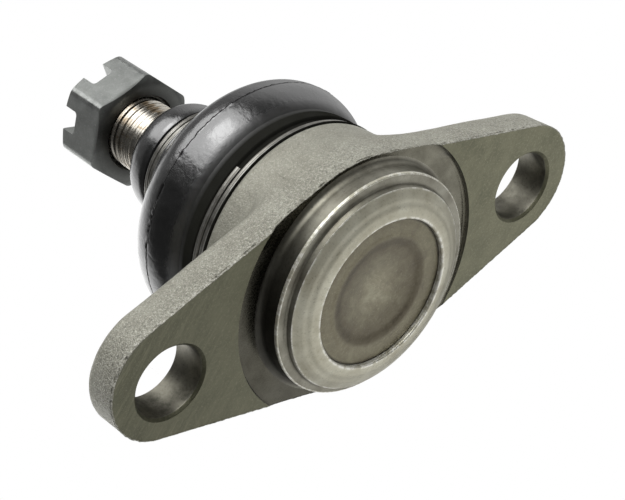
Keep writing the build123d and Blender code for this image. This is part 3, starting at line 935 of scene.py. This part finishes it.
def make_stud():
    """Ball, neck and taper with a real helical thread above them."""
    segments = 240
    neck, dimple, runout_length, chamfer = 7.0, 0.35, 1.2, 1.3
    rows = [(AXIS_RADIUS, BALL_CENTRE - BALL_RADIUS)]
    rows += arc((0.0, BALL_CENTRE), BALL_RADIUS, -86, 54.0, 40)
    rows += [(neck, 22.0), (neck, 26.0), (7.5, 28.5)]
    rows += line((TAPER_START_RADIUS, TAPER_START), (TAPER_END_RADIUS, TAPER_END), 6)
    rows.append((TAPER_END_RADIUS, TAPER_END))
    thread_rows = round((STUD_END - THREAD_START) / THREAD_PITCH * 14)
    for i in range(thread_rows + 1):
        rows.append((None, between(THREAD_START, STUD_END, i / thread_rows)))
    rows += [(4.6, STUD_END), (4.2, STUD_END - dimple), (AXIS_RADIUS, STUD_END - dimple)]

    def helix(angle, height):
        depth = thread_depth_at(height / THREAD_PITCH - angle / (2 * pi))
        crest = THREAD_RADIUS - depth
        runout = THREAD_RADIUS - 0.18 * THREAD_DEPTH * max(0.0, 1 - (height - THREAD_START) / runout_length)
        end = THREAD_RADIUS - max(0.0, height - (STUD_END - chamfer))
        return min(crest, runout, end)

    verts = []
    for radius, height in rows:
        for j in range(segments):
            angle = 2 * pi * j / segments
            r = radius if radius is not None else helix(angle, height)
            verts.append((r * cos(angle), r * sin(angle), height))
    stud = finish_mesh("stud_skin", verts, grid_faces(len(rows), segments), [STUD],
                       smooth_angle=radians(50))
    reach = THREAD_RADIUS + 2.0
    section = [(AXIS_RADIUS, -reach), (COTTER_HOLE_RADIUS, -reach), (COTTER_HOLE_RADIUS, reach),
               (AXIS_RADIUS, reach)]
    drill = lathe("drill", section, [STUD], 48)
    drill.data.transform(Matrix.Translation((0, 0, COTTER_HOLE * MM)) @ Matrix.Rotation(pi / 2, 4, "Y"))
    boolean(stud, drill)
    return stud


def nut_blank():
    """Hexagon with both ends turned to a shallow cone, as a fine polar skin round a threaded bore."""
    segments = 360
    apothem = NUT_FLATS / 2
    soft = 0.35

    def reach(angle):
        local = (angle - radians(NUT_REST_ANGLE) + pi / 6) % (pi / 3) - pi / 6
        flat = apothem / cos(local)
        corner = apothem / cos(pi / 6) - soft
        return flat if flat < corner - 0.2 else min(flat, corner + (flat - corner) * 0.4)

    rows = [("side", i / 26) for i in range(27)]
    rows += [("crown", i / 4) for i in range(1, 5)]
    bore_rows = round((NUT_TOP - NUT_BEARING) / THREAD_PITCH * 12)
    rows += [("bore", i / bore_rows) for i in range(bore_rows + 1)]
    rows += [("seat", i / 4) for i in range(4)]
    mouth = NUT_BORE_RADIUS + NUT_COUNTERSINK
    verts = []
    for kind, share in rows:
        for j in range(segments):
            angle = 2 * pi * j / segments
            edge = reach(angle)
            drop = max(0.0, (edge - NUT_FACE_RADIUS) * NUT_CONE)
            low, high = NUT_BEARING + drop, NUT_TOP - drop
            if kind == "side":
                r, z = edge, between(low, high, share)
            elif kind == "crown":
                r = between(edge, mouth, share)
                z = min(NUT_TOP, high + (edge - r) * NUT_CONE)
            elif kind == "bore":
                z = between(NUT_TOP, NUT_BEARING, share)
                groove = 0.8 * (THREAD_DEPTH - thread_depth_at(z / THREAD_PITCH - angle / (2 * pi)))
                flare = NUT_COUNTERSINK - min(NUT_TOP - z, z - NUT_BEARING)
                r = NUT_BORE_RADIUS + max(groove, flare)
            else:
                r = between(mouth, edge, share)
                z = max(NUT_BEARING, low - (edge - r) * NUT_CONE)
            verts.append((r * cos(angle), r * sin(angle), z))
    return finish_mesh("nut_skin", verts, grid_faces(len(rows), segments), [NUT])


def make_nut():
    """The blank with a rounded slot cut across each pair of flats and its corners broken."""
    nut = nut_blank()
    half = NUT_SLOT_WIDTH / 2
    floor = NUT_TOP - NUT_SLOT_DEPTH
    corner, flare, flare_depth, past = 0.7, 0.35, 0.45, 0.5
    section = [(-half - flare, NUT_TOP + past), (-half, NUT_TOP - flare_depth), (-half, floor + corner)]
    section += arc((-half + corner, floor + corner), corner, 180, 270, 5)[1:]
    section += arc((half - corner, floor + corner), corner, 270, 360, 5)
    section += [(half, NUT_TOP - flare_depth), (half + flare, NUT_TOP + past)]
    for k in range(3):
        angle = radians(NUT_REST_ANGLE + 60 * k)
        along = Vector((cos(angle), sin(angle), 0))
        across = Vector((-sin(angle), cos(angle), 0))
        verts = []
        for end in (-14.0, 14.0):
            for u, z in section:
                verts.append(tuple(along * end + across * u + Vector((0, 0, z))))
        count = len(section)
        faces = [(i, (i + 1) % count, count + (i + 1) % count, count + i) for i in range(count)]
        faces += [tuple(reversed(range(count))), tuple(range(count, 2 * count))]
        boolean(nut, finish_mesh("slot_cutter", verts, faces, [NUT]))
    soften = nut.modifiers.new("soften", "BEVEL")
    soften.width = 0.16 * MM
    soften.segments = 2
    soften.limit_method = "ANGLE"
    soften.angle_limit = radians(40)
    return nut


# ---- put together ----

def dress(obj, body, node):
    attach(obj, body)
    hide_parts(node)


housing = make_housing()
dress(housing, "housing", "housing")
cover = make_cover()
dress(cover, "housing", "cover_plate")
stud = make_stud()
dress(stud, "stud", "ball_stud")
nut = make_nut()
dress(nut, "nut", "castle_nut")
base_ring = wound_ring("base_ring_wire", radius=21.25, bottom=15.62, section_size=(0.68, 0.98), turns=1.46,
                       start_angle=radians(74), climb=lambda turn: 1.3 * smooth_step(turn, 0.80, 1.05))
dress(base_ring, "housing", "boot_base_ring")
neck_ring = wound_ring("neck_ring_wire", radius=11.15, bottom=42.60, section_size=(0.66, 0.80), turns=1.70,
                       start_angle=radians(80), climb=lambda turn: 0.98 * smooth_step(turn, 0.72, 0.98))
dress(neck_ring, "boot_neck", "boot_neck_ring")
boot = make_boot()
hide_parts("dust_boot")
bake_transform(boot)
for node, material in (("preload_spring", SPRING), ("lower_bearing", BEARING), ("upper_bearing", BEARING)):
    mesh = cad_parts[node].data
    mesh.materials.clear()
    mesh.materials.append(material)


# ---- stage, light and camera ----

def make_camera():
    """The camera fitted to the photograph: it looks up at the flange face from below. Its axes are
    unit vectors and its place is in metres."""
    data = bpy.data.cameras.new("camera")
    data.sensor_width = 36.0
    data.lens = 101.18
    data.clip_start = 0.01
    camera = bpy.data.objects.new("camera", data)
    bpy.context.scene.collection.objects.link(camera)
    right = Vector((0.75056, 0.01296, -0.66068))
    up = Vector((0.40257, -0.80183, 0.44161))
    back = right.cross(up)
    place = Vector((-0.15909, -0.18077, -0.17240))
    camera.matrix_world = Matrix((
        (right.x, up.x, back.x, place.x),
        (right.y, up.y, back.y, place.y),
        (right.z, up.z, back.z, place.z),
        (0, 0, 0, 1)))
    bpy.context.scene.camera = camera


def area_light(name, direction, distance, height, size, radiance):
    """A soft lamp turned towards the stud axis at a height, in metres. Its size is across and along
    the stud, and its radiance is what a mirror would show of it."""
    target = Vector((0, 0, height))
    data = bpy.data.lights.new(name, "AREA")
    data.shape = "RECTANGLE"
    data.size, data.size_y = size
    data.energy = radiance * pi * size[0] * size[1]
    lamp = bpy.data.objects.new(name, data)
    bpy.context.scene.collection.objects.link(lamp)
    away = Vector(direction).normalized()
    lamp.location = target + away * distance
    lamp.rotation_mode = "QUATERNION"
    lamp.rotation_quaternion = away.to_track_quat("Z", "Y")


# What the surfaces mirror besides the lamps: soft patches, each with its direction, the cosines of
# the angles from it where the patch starts and where it is full, and its strength.
DIM = 0.04
PATCHES = (((0.0, 0.75, 0.66), 0.62, 0.95, 2.00),       # pale backdrop high on the +Y side
           ((0.93, -0.20, 0.31), 0.62, 0.92, 0.90),     # wall beyond the +X end
           ((-0.20, 0.75, -0.63), 0.70, 0.95, 0.70),    # far part of the table
           ((0.45, 0.60, -0.66), 0.72, 1.00, 1.50),     # near part, which the flange face mirrors
           ((0.0, 0.0, 1.0), 0.55, 0.95, 0.25))         # dim patch past the nut


def make_world():
    """White to the camera. Other rays see dim walls and the brighter patches."""
    world = bpy.data.worlds.new("studio")
    bpy.context.scene.world = world
    world.use_nodes = True
    tree = world.node_tree
    tree.nodes.clear()
    seen = tree.nodes.new("ShaderNodeBackground")
    seen.inputs["Color"].default_value = (1, 1, 1, 1)
    lit = tree.nodes.new("ShaderNodeBackground")
    for background in (seen, lit):
        background.inputs["Strength"].default_value = 1.0
    coordinates = tree.nodes.new("ShaderNodeTexCoord")
    level = None
    for direction, start, full, strength in PATCHES:
        facing = tree.nodes.new("ShaderNodeVectorMath")
        facing.operation = "DOT_PRODUCT"
        facing.inputs[1].default_value = direction
        tree.links.new(coordinates.outputs["Generated"], facing.inputs[0])
        patch = map_range(tree, facing.outputs["Value"], start, full, DIM, strength)
        level = patch if level is None else math_node(tree, "MAXIMUM", level, patch)
    tree.links.new(level, lit.inputs["Color"])
    path = tree.nodes.new("ShaderNodeLightPath")
    show_mix(tree, "ShaderNodeOutputWorld", path.outputs["Is Camera Ray"], lit.outputs["Background"],
             seen.outputs["Background"])


def make_floor():
    """Pale floor under the rolled lip, which fades into the white round it. Seen from above only,
    and no ray but the camera's meets it."""
    size = 0.6
    fade_start, fade_end = 0.06, 0.34
    level = (LIP_CREST - 0.02) * MM
    mesh = bpy.data.meshes.new("floor")
    mesh.from_pydata([(-size, -size, level), (size, -size, level), (size, size, level), (-size, size, level)],
                     [], [(0, 1, 2, 3)])
    floor = bpy.data.objects.new("floor", mesh)
    bpy.context.scene.collection.objects.link(floor)
    material = bpy.data.materials.new("floor_paper")
    material.use_nodes = True
    tree = material.node_tree
    tree.nodes.clear()
    clear = tree.nodes.new("ShaderNodeBsdfTransparent")
    paper = tree.nodes.new("ShaderNodeBsdfDiffuse")
    paper.inputs["Color"].default_value = (0.86, 0.86, 0.86, 1)
    path = tree.nodes.new("ShaderNodeLightPath")
    geometry = tree.nodes.new("ShaderNodeNewGeometry")
    front = math_node(tree, "SUBTRACT", path.outputs["Is Camera Ray"], geometry.outputs["Backfacing"])
    front.node.use_clamp = True
    place = tree.nodes.new("ShaderNodeTexCoord")
    away = length_of(tree, place.outputs["Object"])
    paper_share = multiply(tree, front, map_range(tree, away, fade_start, fade_end, 1.0, 0.0))
    show_mix(tree, "ShaderNodeOutputMaterial", paper_share, clear.outputs["BSDF"], paper.outputs["BSDF"])
    mesh.materials.append(material)


make_camera()
make_world()
make_floor()
area_light("overhead", direction=(-0.21, -0.978, 0.0), distance=0.55, height=0.36, size=(0.55, 1.62),
           radiance=2.35)
area_light("overhead_core", direction=(-0.14, -0.990, 0.0), distance=0.50, height=-0.03,
           size=(0.17, 0.34), radiance=2.6)
bpy.context.scene.view_settings.view_transform = "Standard"
